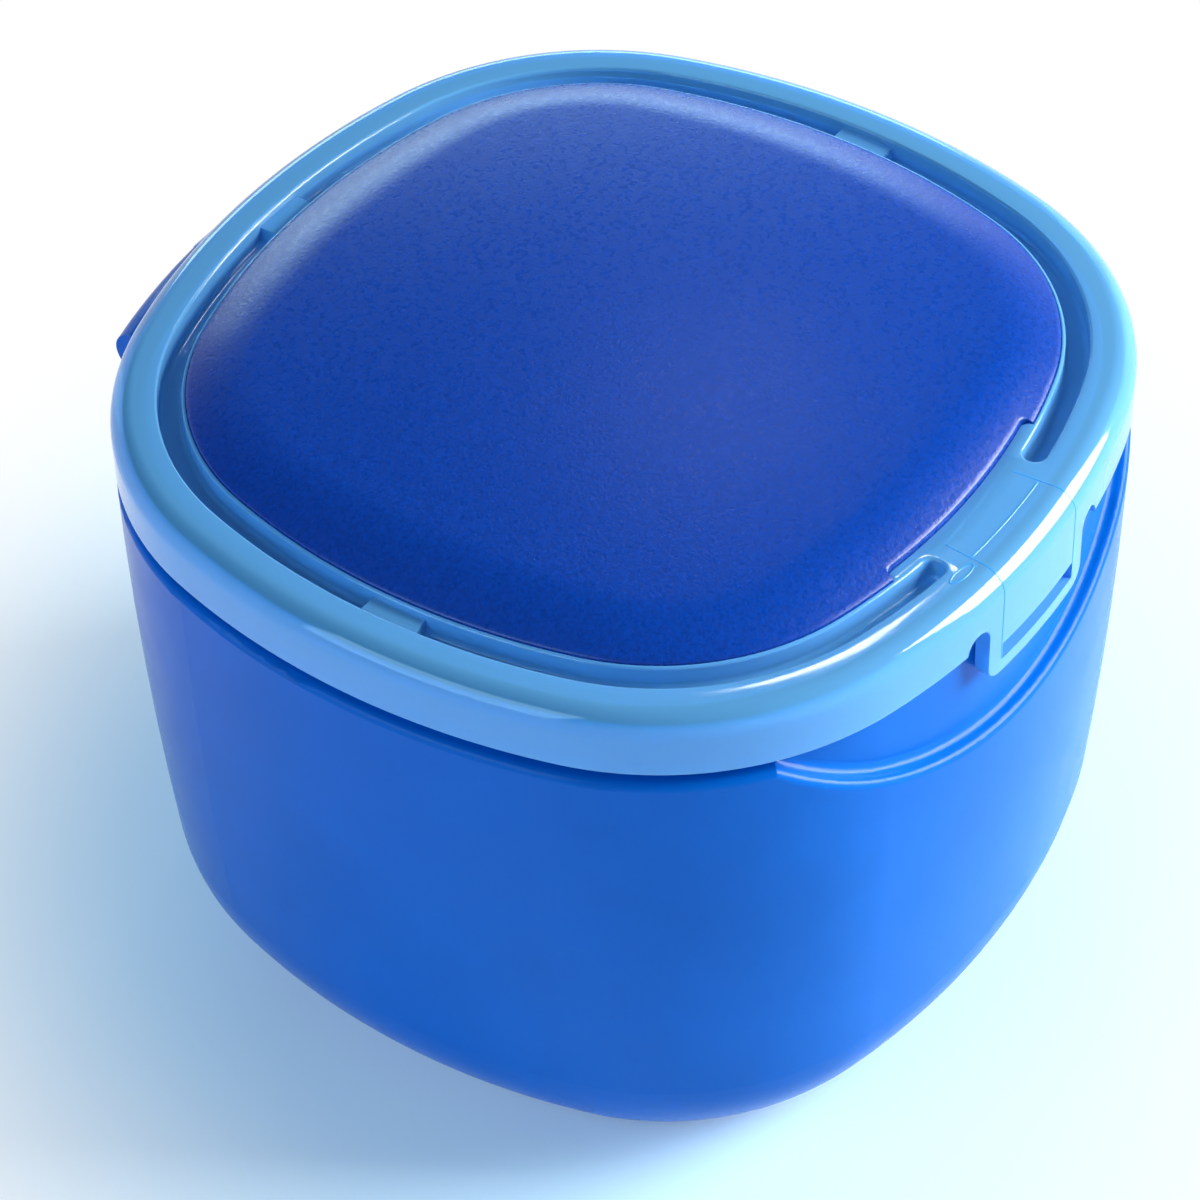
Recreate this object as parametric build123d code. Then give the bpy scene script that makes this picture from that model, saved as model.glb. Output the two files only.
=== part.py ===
from build123d import *
import math
import os

# Denture case: a deep rounded-square bowl with a thumb scoop, and a clear hinged
# lid that carries a crowned, grained panel, a seal ring and a snap latch tab.
# A perforated basket stands in the bowl. Millimetres, Z up, base on z = 0.
# The latch faces -Y and the hinge +Y. An "inset" is a distance inwards from the
# outer wall of the case, measured square to the outline.

# Outline seen from above: eight arcs that meet smoothly
case_width = 92.0  # across two opposite sides
side_arc_radius = 76.0  # long arc of each side
corner_arc_radius = 32.0  # arc of each corner
core_corner_radius = 3.0  # corners of the middle plate that closes each dish

# Bowl
shoulder_height = 58.8  # base to the ledge under the lid's skirt
wall_bow_radius = 511.0  # the wall leans in along this large arc
base_radius = 15.0  # outer rounding between wall and base
shoulder_edge = 0.8  # rounding of the ledge's outer edge
neck_inset = 1.9  # width of the ledge
neck_wall = 1.4  # thickness of the neck inside the skirt
inner_draft = 1.5  # degrees that the inside narrows downwards
inner_base_radius = 12.0  # rounding between inner wall and floor
floor_thickness = 2.4
foot_recess = 0.8  # the middle of the base stands this far clear
foot_ring_width = 5.0  # flat ring that the case stands on

# Thumb scoop below the latch, where the ledge dips along an arc
scoop_drop = 12.2  # lowest point of the scoop below the ledge
scoop_radius = 46.5
scoop_fillet = 1.0  # between the scoop's floor and the neck
catch_height = 1.4  # ridge behind the latch window
catch_reach = 0.2
catch_side_gap = 0.6

# Lid frame, one clear moulding
lid_rise = 8.1  # ledge of the bowl to the flat of the rim
skirt_gap_below = 1.5  # ledge to the lower edge of the skirt
skirt_wall = 1.6
rim_rounding = 2.4  # outer rounding between skirt and rim
rim_plate = 1.8  # thickness of the rim over the seal
seal_pocket_width = 1.8
channel_inset = 4.6  # outer side of the channel round the panel
channel_width = 2.3
channel_depth = 2.4
channel_floor = 1.2
channel_floor_radius = 0.6
channel_edge_radius = 0.3
panel_lip = 0.4  # thin wall between channel and panel
panel_seat_width = 3.0  # ledge that carries the panel
panel_seat_depth = 1.9  # rim down to that ledge
bridge_length = 5.8  # shallow stretches of the channel, mid-side
bridge_depth = 0.8
side_bridge_shift = 1.6  # the left and right ones stand this far towards the latch
latch_land_half = 9.2  # the channel ends this far from the middle
land_tip_half = 12.3  # the flat land inside the channel reaches this far
land_step = 1.05  # width of the land inside the lip
land_tip_radius = 0.8  # rounding of the land's two tips

# Latch tab
tab_half_width = 8.4
tab_drop = 5.8  # below the skirt
tab_corner = 1.8
relief_radius = 1.6  # notch beside the tab
window_half_width = 6.4
window_height = 2.0
window_sill = 1.7  # bar below the window

# Crowned panel
panel_gap = 0.05  # seam between panel and frame
panel_thickness = 2.0
panel_edge_rise = 0.2  # the panel's edge above the rim
panel_foot_width = 2.0
panel_edge_slope = 25.0  # degrees, of the sloping margin
panel_margin = 3.6  # its width at the corners
crown_radius = 300.0  # the middle is part of a sphere
crown_blend_radius = 20.0  # between margin and crown

# Seal ring
seal_height = 1.5
seal_gap = 0.05
seal_bead = 0.25  # half-round bead that meets the neck
neck_seal_gap = 0.55

# Hinge
axis_outset = 1.5  # hinge axis outside the back wall
axis_below_rim = 7.5
barrel_radius = 2.4
pin_radius = 0.8
pin_running_gap = 0.05
pin_fixed_gap = 0.02
pin_half_length = 9.0
pin_end_gap = 0.2  # the pin's blind bores run on this far
lid_barrel_half = 4.1
knuckle_end = 19.0  # the knuckles run along the wall as far as this, either side
hinge_gap = 0.3
knuckle_web_drop = 9.0  # how far the web runs down the wall

# Strainer basket
basket_side_gap = 1.0
basket_top = 55.0
basket_flange_width = 2.4
basket_flange_thickness = 1.6
basket_wall = 1.4
basket_draft = 3.0
basket_base_radius = 11.0
basket_floor_height = 8.0
basket_foot_radius = 2.5
basket_foot_place = 19.5  # from both mid planes
drain_hole_radius = 2.0
drain_pitch = 7.5
drain_rings = 3
slot_width = 3.0
slot_length = 22.0
slot_pitch = 9.0
slots_per_side = 5
slots_per_corner = 3
slot_middle_height = 34.0
lug_width = 22.0
lug_height = 6.0
lug_wall = 1.8
lug_hole_height = 3.0

# Levels and places that follow from the sizes above
half = case_width / 2
rim_top = shoulder_height + lid_rise
skirt_bottom = shoulder_height + skirt_gap_below
floor_top = foot_recess + floor_thickness
mouth_inset = neck_inset + neck_wall
core_inset = corner_arc_radius - core_corner_radius
pocket_roof = rim_top - rim_plate
neck_top = pocket_roof - seal_height - neck_seal_gap
lid_underside = rim_top - channel_depth - channel_floor
lip_inset = channel_inset + channel_width + panel_lip
seat_level = rim_top - panel_seat_depth
tab_bottom = skirt_bottom - tab_drop
window_bottom = tab_bottom + window_sill
axis_y = half + axis_outset
axis_z = rim_top - axis_below_rim
side_drop = side_arc_radius - half
far = 2 * case_width


def corner_centre():
    """Distance of a corner arc's centre from both mid planes, so that the arcs meet smoothly."""
    span = side_arc_radius - corner_arc_radius
    return (math.sqrt(2 * span**2 - side_drop**2) - side_drop) / 2


def side_lean():
    """Half the angle that the long arc of a side spans."""
    centre = corner_centre()
    return math.degrees(math.atan2(centre, centre + side_drop))


def side_arc(turn, inset, start, end):
    """Part of a side's long arc, from start to end degrees off its middle. Turn 0 is the back."""
    arc = CenterArc((0, -side_drop, 0), side_arc_radius - inset, 90 + start, end - start)
    return Rotation(0, 0, 90 * turn) * arc


def corner_arc(turn, inset):
    """The corner arc that runs on from the side arc of the same turn."""
    centre = corner_centre()
    arc = CenterArc((-centre, centre, 0), corner_arc_radius - inset, 90 + side_lean(), 90 - 2 * side_lean())
    return Rotation(0, 0, 90 * turn) * arc


def outline(inset):
    """Closed outline of the case, moved inwards by the inset."""
    edges = []
    for turn in range(4):
        edges.append(side_arc(turn, inset, -side_lean(), side_lean()))
        edges.append(corner_arc(turn, inset))
    return Wire(edges)


def prism(inset, bottom, top):
    """Upright solid between two heights, on the outline at the inset."""
    return Pos(0, 0, bottom) * extrude(Face(outline(inset)), top - bottom)


def ring_prism(outer_inset, inner_inset, bottom, top):
    """Upright ring between two insets."""
    return prism(outer_inset, bottom, top) - prism(inner_inset, bottom, top)


def swept(profile):
    """A profile drawn in X and Z at the +X side, carried round the outline."""
    return sweep(profile, path=outline(0))


def front_block(half_width, bottom, top):
    """A block from the mid plane out past the front."""
    return Pos(0, -far / 2, (bottom + top) / 2) * Box(2 * half_width, far, top - bottom)


def x_cylinder(radius, start, end):
    """A cylinder about the hinge axis, between two places along X."""
    return Pos((start + end) / 2, axis_y, axis_z) * Rotation(0, 90, 0) * Cylinder(radius, end - start)


def knuckle_stretches(gap):
    """The two stretches of the back where the knuckles stand, each longer by the gap at both ends."""
    start = lid_barrel_half + hinge_gap - gap
    length = knuckle_end + gap - start
    block = Pos(start + length / 2, far / 2, axis_z) * Box(length, far, far)
    return block + mirror(block, Plane.YZ)


def inset_of(point):
    """How far a point lies inside the outline."""
    near = min(abs(point.X), abs(point.Y))
    off = max(abs(point.X), abs(point.Y))
    centre = corner_centre()
    if math.degrees(math.atan2(near, off + side_drop)) < side_lean():
        return side_arc_radius - math.hypot(near, off + side_drop)
    return corner_arc_radius - math.hypot(near - centre, off - centre)


def bowl_section():
    """Section of the bowl's wall, rounded base and foot ring, with no ledge yet."""
    bow_x = half - wall_bow_radius
    rise = shoulder_height - base_radius
    reach = math.sqrt((wall_bow_radius - base_radius) ** 2 - rise**2)
    foot_x = bow_x + reach
    lean = math.atan2(rise, reach)
    wall_middle = (bow_x + wall_bow_radius * math.cos(lean / 2),
                   shoulder_height - wall_bow_radius * math.sin(lean / 2))
    wall_end = (bow_x + wall_bow_radius * math.cos(lean), shoulder_height - wall_bow_radius * math.sin(lean))
    turn = (lean + math.pi / 2) / 2
    base_middle = (foot_x + base_radius * math.cos(turn), base_radius - base_radius * math.sin(turn))
    mouth_x = half - mouth_inset
    core_x = half - core_inset
    ring_x = foot_x - foot_ring_width
    with BuildSketch(Plane.XZ) as section:
        with BuildLine():
            Polyline((mouth_x, neck_top), (half, neck_top), (half, shoulder_height))
            ThreePointArc((half, shoulder_height), wall_middle, wall_end)
            ThreePointArc(wall_end, base_middle, (foot_x, 0))
            Polyline((foot_x, 0), (ring_x, 0), (ring_x - foot_recess, foot_recess), (core_x, foot_recess))
            Line((core_x, foot_recess), (core_x, floor_top))
            dish_side((mouth_x, neck_top), inner_draft, inner_base_radius, floor_top, core_x)
        make_face()
    return section.sketch


def dish_side(top, draft, radius, floor, middle_x):
    """Line of a dish from the middle of its floor out, round the base and up the leaning side."""
    slope = math.radians(draft)
    centre_z = floor + radius
    centre_x = top[0] - (top[1] - centre_z) * math.tan(slope) - radius / math.cos(slope)
    turn = (slope + math.pi / 2) / 2
    round_middle = (centre_x + radius * math.cos(turn), centre_z - radius * math.sin(turn))
    round_end = (centre_x + radius * math.cos(slope), centre_z - radius * math.sin(slope))
    Line((middle_x, floor), (centre_x, floor))
    ThreePointArc((centre_x, floor), round_middle, round_end)
    Line(round_end, top)


def wall_lean(level):
    """How far the bowed outer wall lies inside the outline at a height."""
    drop = max(shoulder_height - level, 0)
    return wall_bow_radius - math.sqrt(wall_bow_radius**2 - drop**2)


def scoop_edges(solid, inset_at):
    """Edges along the scoop's arc, on the wall whose inset is known at every height."""
    centre_z = shoulder_height - scoop_drop + scoop_radius
    found = []
    for edge in solid.edges():
        spots = [edge @ 0.3, edge @ 0.7]
        on_arc = all(abs(math.hypot(spot.X, spot.Z - centre_z) - scoop_radius) < 0.02 for spot in spots)
        on_wall = all(abs(inset_of(spot) - inset_at(spot.Z)) < 0.02 for spot in spots)
        if on_arc and on_wall and spots[0].Y < 0 and spots[0].Z < neck_top - 0.1:
            found.append(edge)
    return found


def scooped(bowl):
    """Cut the thumb scoop and round its two edges."""
    low = shoulder_height - scoop_drop
    cylinder = Pos(0, -far / 2, low + scoop_radius) * Rotation(90, 0, 0) * Cylinder(scoop_radius, far)
    bowl = bowl - (cylinder - prism(neck_inset, 0, rim_top + far))
    bowl = fillet(scoop_edges(bowl, lambda level: neck_inset), scoop_fillet)
    return fillet(scoop_edges(bowl, wall_lean), shoulder_edge)


def shoulder_rounding():
    """The thin ring that is taken off the outer edge of the ledge."""
    start_x = half - shoulder_edge
    low = shoulder_height - shoulder_edge
    with BuildSketch(Plane.XZ) as section:
        with BuildLine():
            Polyline((start_x, shoulder_height), (start_x, rim_top), (half + 1, rim_top))
            Polyline((half + 1, rim_top), (half + 1, low), (half, low))
            RadiusArc((half, low), (start_x, shoulder_height), -shoulder_edge)
        make_face()
    return swept(section.sketch)


def case_knuckles():
    """Two knuckles that follow the back wall's curve, with the web that carries them down onto it."""
    axis_x = half + axis_outset
    foot_z = axis_z - knuckle_web_drop
    inner_x = half - neck_inset - neck_wall / 2
    web_turn = math.acos(barrel_radius / math.hypot(axis_outset, knuckle_web_drop))
    touch = web_turn - math.atan2(knuckle_web_drop, -axis_outset)
    touch_point = (axis_x + barrel_radius * math.cos(touch), axis_z + barrel_radius * math.sin(touch))
    with BuildSketch(Plane.XZ) as section:
        with BuildLine():
            Polyline((axis_x, axis_z), touch_point, (half, foot_z), (inner_x, foot_z))
            Polyline((inner_x, foot_z), (inner_x, axis_z), (axis_x, axis_z))
        make_face()
        with Locations((axis_x, axis_z)):
            Circle(barrel_radius)
    return swept(section.sketch) & knuckle_stretches(0)


def knuckle_room():
    """What the lid leaves free round the two knuckles."""
    round_room = Plane.XZ * Pos(half + axis_outset, axis_z) * Circle(barrel_radius + hinge_gap)
    return swept(round_room) & knuckle_stretches(hinge_gap)


def case_body():
    """The bowl, with its ledge, neck, thumb scoop, catch and hinge knuckles."""
    bowl = swept(bowl_section()) + prism(core_inset, foot_recess, floor_top)
    bowl = scooped(bowl)
    bowl = bowl - ring_prism(-1, neck_inset, shoulder_height, rim_top)
    bowl = bowl - shoulder_rounding()
    catch_middle = window_bottom + window_height / 2
    catch_top = catch_middle + catch_height / 2
    catch_bottom = catch_middle - catch_height / 2
    catch = ring_prism(neck_inset - catch_reach, mouth_inset - neck_wall / 2, catch_bottom, catch_top)
    bowl = bowl + (catch & front_block(window_half_width - catch_side_gap, catch_bottom, catch_top))
    bowl = bowl + case_knuckles()
    lid_room = lid_barrel_half + hinge_gap
    bowl = bowl - x_cylinder(barrel_radius + hinge_gap, -lid_room, lid_room)
    bore_end = pin_half_length + pin_end_gap
    return bowl - x_cylinder(pin_radius + pin_fixed_gap, -bore_end, bore_end)


def lid_section():
    """Section of the lid frame: skirt, rounded rim, seal pocket and the ledge for the panel."""
    skirt_x = half - skirt_wall
    pocket_x = skirt_x - seal_pocket_width
    lip_x = half - lip_inset
    seat_x = lip_x - panel_seat_width
    with BuildSketch(Plane.XZ) as section:
        with BuildLine():
            Line((half, skirt_bottom), (half, rim_top - rim_rounding))
            RadiusArc((half, rim_top - rim_rounding), (half - rim_rounding, rim_top), -rim_rounding)
            Polyline((half - rim_rounding, rim_top), (lip_x, rim_top), (lip_x, seat_level))
            Polyline((lip_x, seat_level), (seat_x, seat_level), (seat_x, lid_underside))
            Polyline((seat_x, lid_underside), (pocket_x, lid_underside), (pocket_x, pocket_roof))
            Line((pocket_x, pocket_roof), (skirt_x, pocket_roof))
            Polyline((skirt_x, pocket_roof), (skirt_x, skirt_bottom), (half, skirt_bottom))
        make_face()
    return section.sketch


def channel_profile(side):
    """Half of the channel's section, with X as the distance from its middle line."""
    wide = side * channel_width / 2
    flare = side * channel_edge_radius
    inner = side * channel_floor_radius
    turn = -1 if side > 0 else 1
    with BuildSketch(Plane.XZ) as section:
        with BuildLine():
            Polyline((0, -channel_depth), (0, 1), (wide + flare, 1), (wide + flare, 0))
            RadiusArc((wide + flare, 0), (wide, -channel_edge_radius), -turn * channel_edge_radius)
            Line((wide, -channel_edge_radius), (wide, channel_floor_radius - channel_depth))
            RadiusArc((wide, channel_floor_radius - channel_depth), (wide - inner, -channel_depth),
                      -turn * -channel_floor_radius)
            Line((wide - inner, -channel_depth), (0, -channel_depth))
        make_face()
    return section.sketch


def channel_cutter():
    """The channel round the panel, from one side of the latch land round to the other."""
    inset = channel_inset + channel_width / 2
    swing = math.degrees(math.asin(latch_land_half / (side_arc_radius - inset)))
    edges = [side_arc(2, inset, swing, side_lean()), corner_arc(2, inset)]
    for turn in (3, 4, 5):
        edges.append(side_arc(turn, inset, -side_lean(), side_lean()))
        edges.append(corner_arc(turn, inset))
    edges.append(side_arc(2, inset, -side_lean(), -swing))
    path = Wire(edges)
    start = path @ 0
    place = Pos(start.X, start.Y, rim_top) * Rotation(0, 0, 90 + swing)
    cutter = sweep(place * (channel_profile(1) + channel_profile(-1)), path=path)
    tip = revolve(channel_profile(1), Axis.Z)
    for end in (path @ 0, path @ 1):
        cutter = cutter + Pos(end.X, end.Y, rim_top) * tip
    return cutter - bridge_blocks()


def bridge_blocks():
    """What stays solid below the three shallow stretches of the channel."""
    top = rim_top - bridge_depth
    middle = half - channel_inset - channel_width / 2
    block = Pos(0, middle, top - far / 2) * Box(bridge_length, 2 * channel_width, far)
    side = Pos(0, -side_bridge_shift, 0) * Rotation(0, 0, 90) * block
    return block + side + mirror(side, Plane.YZ)


def latch_land(outer_inset, gap, bottom, top):
    """Flat land with two rounded tips in front of the panel, wider by the gap all round."""
    inner_inset = lip_inset + land_step + gap
    land = ring_prism(outer_inset, inner_inset, bottom, top) & front_block(land_tip_half + gap, bottom, top)
    tips = [edge for edge in land.edges().filter_by(Axis.Z) if inset_of(edge @ 0.5) > inner_inset - 0.1]
    return fillet(tips, land_tip_radius + gap)


def latch_tab():
    """Tab that hangs from the skirt, with rounded corners and a window for the catch."""
    top = skirt_bottom + rim_rounding
    height = top - tab_bottom
    shape = Pos(0, (top + tab_bottom) / 2) * Rectangle(2 * tab_half_width, height)
    shape = fillet(shape.vertices().group_by(Axis.Y)[0], tab_corner)
    window = Pos(0, window_bottom + window_height / 2) * Rectangle(2 * window_half_width, window_height)
    front = extrude(Plane.XZ * (shape - window), far)
    return ring_prism(0, skirt_wall, tab_bottom, top) & front


def relief_notches():
    """Round notches that free the tab from the skirt."""
    place = tab_half_width + relief_radius
    notch = Pos(place, -far / 2, skirt_bottom) * Rotation(90, 0, 0) * Cylinder(relief_radius, far)
    return notch + mirror(notch, Plane.YZ)


def lid_frame():
    """The clear moulding: rim, skirt, channel, latch tab and hinge barrel."""
    frame = swept(lid_section()) + latch_land(lip_inset - panel_lip, 0, seat_level, rim_top)
    frame = frame - channel_cutter()
    frame = frame - relief_notches() + latch_tab()
    web_front = half - skirt_wall / 2
    web = Pos(0, (web_front + axis_y) / 2, axis_z + barrel_radius / 2)
    web = web * Box(2 * lid_barrel_half, axis_y - web_front, barrel_radius)
    frame = frame - knuckle_room()
    frame = frame + web + x_cylinder(barrel_radius, -lid_barrel_half, lid_barrel_half)
    return frame - x_cylinder(pin_radius + pin_running_gap, -knuckle_end, knuckle_end)


def crown_centre():
    """Height of the centre of the crown's sphere, which meets the margin at its width in the corners."""
    reach = corner_centre() * math.sqrt(2) + corner_arc_radius - lip_inset - panel_gap - panel_margin
    level = rim_top + panel_edge_rise + panel_margin * math.tan(math.radians(panel_edge_slope))
    return level - math.sqrt(crown_radius**2 - reach**2), math.degrees(math.asin(reach / crown_radius))


def crowned(wall_x, shrink):
    """Solid below the panel's crown, with an upright wall, and with its top sunk by the shrink."""
    slope = math.radians(panel_edge_slope)
    edge_x = half - lip_inset - panel_gap - shrink * math.sin(slope)
    edge_z = rim_top + panel_edge_rise - shrink * math.cos(slope)
    core_x = half - core_inset
    wall_z = edge_z + (edge_x - wall_x) * math.tan(slope)
    core_z = edge_z + (edge_x - core_x) * math.tan(slope)
    with BuildSketch(Plane.XZ) as section:
        with BuildLine():
            Polyline((wall_x, wall_z), (core_x, core_z), (core_x, seat_level))
            Polyline((core_x, seat_level), (wall_x, seat_level), (wall_x, wall_z))
        make_face()
    centre_z, crown_slope = crown_centre()
    radius = crown_radius - shrink
    block = swept(section.sketch) + prism(core_inset, seat_level, core_z)
    block = block & (Pos(0, 0, centre_z) * Rotation(0, 90, 0) * Sphere(radius))
    meeting = []
    for edge in block.edges():
        spots = [edge @ 0.3, edge @ 0.7]
        if all(abs(math.hypot(spot.X, spot.Y, spot.Z - centre_z) - radius) < 0.02 for spot in spots):
            meeting.append(edge)
    half_turn = math.radians(panel_edge_slope - crown_slope) / 2
    room = 0.9 * panel_margin / math.tan(half_turn)
    return fillet(meeting, min(crown_blend_radius, room) - shrink)


def lid_panel():
    """The crowned panel that sits inside the channel, with an even wall and a foot on the ledge."""
    edge_x = half - lip_inset - panel_gap
    panel = crowned(edge_x, 0) - crowned(edge_x - panel_foot_width, panel_thickness)
    return panel - latch_land(0, panel_gap, 0, far)


def lid_seal():
    """The seal ring in the pocket of the rim, with a round bead towards the neck."""
    outer_x = half - skirt_wall - seal_gap
    inner_x = half - skirt_wall - seal_pocket_width + seal_gap
    low = pocket_roof - seal_height
    middle = (outer_x + inner_x) / 2
    with BuildSketch(Plane.XZ) as section:
        with BuildLine():
            Polyline((middle + seal_bead, low), (outer_x, low), (outer_x, pocket_roof))
            Line((outer_x, pocket_roof), (inner_x, pocket_roof))
            Polyline((inner_x, pocket_roof), (inner_x, low), (middle - seal_bead, low))
            ThreePointArc((middle - seal_bead, low), (middle, low - seal_bead), (middle + seal_bead, low))
        make_face()
    return swept(section.sketch)


def hinge_pin():
    """The short pin through the lid's barrel into both knuckles."""
    pin = x_cylinder(pin_radius, -pin_half_length, pin_half_length)
    return chamfer(pin.edges().filter_by(GeomType.CIRCLE), pin_radius / 4)


def basket_section(flange_inset):
    """Section of the basket's wall, from its flange down to the floor."""
    outer_x = half - flange_inset
    wall_x = outer_x - basket_flange_width
    inner_x = wall_x - basket_wall
    core_x = half - core_inset
    under = basket_top - basket_flange_thickness
    floor = basket_floor_height + basket_wall
    with BuildSketch(Plane.XZ) as section:
        with BuildLine():
            dish_side((wall_x, under), basket_draft, basket_base_radius, basket_floor_height, core_x)
            Polyline((wall_x, under), (outer_x, under), (outer_x, basket_top), (inner_x, basket_top))
            dish_side((inner_x, basket_top), basket_draft, basket_base_radius - basket_wall, floor, core_x)
            Line((core_x, floor), (core_x, basket_floor_height))
        make_face()
    return section.sketch


def drain_holes():
    """Rings of round holes for the basket's floor."""
    spots = [Pos(0, 0)]
    for ring in range(1, drain_rings + 1):
        for step in range(6 * ring):
            spots.append(Rotation(0, 0, 60 * step / ring) * Pos(ring * drain_pitch, 0))
    holes = Sketch() + [spot * Circle(drain_hole_radius) for spot in spots]
    return extrude(holes, basket_top)


def wall_slots():
    """Upright slots through the basket's four sides and four corners."""
    cutters = []
    for turn in range(4):
        count = slots_per_side if turn % 2 == 0 else slots_per_corner
        for index in range(count):
            place = (index - (count - 1) / 2) * slot_pitch
            slot = Pos(place, slot_middle_height) * Rotation(0, 0, 90) * SlotOverall(slot_length, slot_width)
            through = extrude(Plane.XZ * slot, far, both=True)
            cutters.append(Rotation(0, 0, 45 * turn) * through)
    return cutters


def lift_lugs(flange_inset):
    """Two finger lugs that stand on the basket's flange."""
    top = basket_top + lug_height
    ring = ring_prism(flange_inset, flange_inset + lug_wall, basket_top, top)
    shape = Pos(0, basket_top + lug_height / 2) * Rectangle(lug_width, lug_height)
    shape = fillet(shape.vertices().group_by(Axis.Y)[-1], lug_height / 2)
    hole = Pos(0, basket_top + lug_height / 2) * SlotOverall(lug_width - lug_height, lug_hole_height)
    return ring & extrude(Plane.YZ * (shape - hole), far, both=True)


def strainer_basket():
    """The perforated basket, on four feet, with a flange and two finger lugs."""
    mouth_lean = (neck_top - basket_top) * math.tan(math.radians(inner_draft))
    flange_inset = mouth_inset + mouth_lean + basket_side_gap
    floor = prism(core_inset, basket_floor_height, basket_floor_height + basket_wall)
    basket = swept(basket_section(flange_inset)) + floor
    basket = basket - drain_holes() - wall_slots()
    foot_height = basket_floor_height - floor_top + basket_wall / 2
    foot = Cylinder(basket_foot_radius, foot_height)
    foot = Pos(basket_foot_place, basket_foot_place, floor_top + foot_height / 2) * foot
    for turn in range(4):
        basket = basket + Rotation(0, 0, 90 * turn) * foot
    return basket + lift_lugs(flange_inset)


parts = {
    "case_body": case_body,
    "lid_frame": lid_frame,
    "lid_panel": lid_panel,
    "lid_seal": lid_seal,
    "hinge_pin": hinge_pin,
    "strainer_basket": strainer_basket,
}

os.makedirs("parts", exist_ok=True)
for name, make in parts.items():
    export_step(make(), f"parts/{name}.step")
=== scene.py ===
# %% [markdown]
# A denture case: a deep blue bowl, a clear hinged lid, and a crowned blue panel
# with a fine grain in the middle of the lid. The solids come packed, each on its
# own body, and they never move here. This lesson adds the camera, the studio, the
# finishes, and fine surfaces worked out with numpy for what the light touches most.

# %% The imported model
import math

import bmesh
import bpy
import numpy as np
from mathutils import Matrix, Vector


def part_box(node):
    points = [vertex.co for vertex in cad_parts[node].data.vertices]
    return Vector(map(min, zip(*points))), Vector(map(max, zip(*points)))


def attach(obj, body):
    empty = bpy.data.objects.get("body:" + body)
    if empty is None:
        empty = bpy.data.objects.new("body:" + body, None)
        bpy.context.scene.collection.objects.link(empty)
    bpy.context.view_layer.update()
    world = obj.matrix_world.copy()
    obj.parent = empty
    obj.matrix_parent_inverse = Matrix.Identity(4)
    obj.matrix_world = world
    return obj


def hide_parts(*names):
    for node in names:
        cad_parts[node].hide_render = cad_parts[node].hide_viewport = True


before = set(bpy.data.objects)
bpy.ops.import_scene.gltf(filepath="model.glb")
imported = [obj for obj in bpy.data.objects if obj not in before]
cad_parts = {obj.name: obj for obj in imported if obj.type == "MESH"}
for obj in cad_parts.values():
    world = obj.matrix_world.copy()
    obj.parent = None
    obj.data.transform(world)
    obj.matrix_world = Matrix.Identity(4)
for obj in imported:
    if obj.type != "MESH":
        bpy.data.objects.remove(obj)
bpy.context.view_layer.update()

MM = 0.001
rim_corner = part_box("lid_frame")[1]
HALF_WIDTH = rim_corner[0] / MM
RIM_TOP = rim_corner[2] / MM
print("half width and rim in mm:", round(HALF_WIDTH, 2), round(RIM_TOP, 2))

# %% [markdown]
# The camera looks down at the corner between the latch side and the left side.
# It could be placed by eye and turned until the picture agrees. Here the view was
# fitted to the two closed lines of the lid instead, which gives a direction, a
# distance, a slight roll, and how far the rim's middle lies off the picture's
# middle. From those few numbers its axes follow by cross products.

# %% The camera
VIEW_AZIMUTH = math.radians(-54.875)
VIEW_ELEVATION = math.radians(44.419)
VIEW_ROLL = math.radians(-1.582)
VIEW_DISTANCE = 0.4365
AIM = np.array([0.0, 0.0, 0.0653])
AIM_RIGHT = 0.00243
AIM_UP = 0.0222
FILM_WIDTH = 36.0
FOCAL_SHARE = 3.809


def add_camera():
    """Camera at aim + distance * back, less the offsets along its right and up axes."""
    back = np.array([math.sin(VIEW_AZIMUTH) * math.cos(VIEW_ELEVATION),
                     -math.cos(VIEW_AZIMUTH) * math.cos(VIEW_ELEVATION), math.sin(VIEW_ELEVATION)])
    level_right = np.array([math.cos(VIEW_AZIMUTH), math.sin(VIEW_AZIMUTH), 0])
    level_up = np.cross(back, level_right)
    right = math.cos(VIEW_ROLL) * level_right + math.sin(VIEW_ROLL) * level_up
    up = np.cross(back, right)
    data = bpy.data.cameras.new("portrait")
    data.sensor_width = FILM_WIDTH
    data.lens = FILM_WIDTH * FOCAL_SHARE
    camera = bpy.data.objects.new("portrait", data)
    bpy.context.scene.collection.objects.link(camera)
    place = np.eye(4)
    place[:3, :3] = np.stack([right, up, back], axis=1)
    place[:3, 3] = AIM + VIEW_DISTANCE * back - AIM_RIGHT * right - AIM_UP * up
    camera.matrix_world = Matrix(place.tolist())
    bpy.context.scene.camera = camera
    return camera


portrait = add_camera()
bpy.context.scene.view_settings.view_transform = "Standard"
print("camera at", [round(v, 4) for v in portrait.matrix_world.translation])

# %% [markdown]
# Seen from above, the case is a rounded square made of eight arcs: a long one for
# each side and a tighter one for each corner. They meet smoothly, so one number is
# enough to say where along the outline a point lies: the angle between its outward
# normal and the front. Moving inwards by an inset only makes each arc's radius
# smaller, so every ring of the lid and the panel comes from this one function.

# %% The outline
SIDE_RADIUS = 76.0
CORNER_RADIUS = 32.0
SIDE_DROP = SIDE_RADIUS - HALF_WIDTH
SPAN = SIDE_RADIUS - CORNER_RADIUS
CORNER_PLACE = (math.sqrt(2 * SPAN ** 2 - SIDE_DROP ** 2) - SIDE_DROP) / 2
LEAN = math.atan2(CORNER_PLACE, CORNER_PLACE + SIDE_DROP)


def outward(turn):
    """Level unit vector at an angle of turn degrees from the front, -Y, towards +X."""
    angle = np.radians(turn)
    return np.stack([np.sin(angle), -np.cos(angle)])


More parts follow.
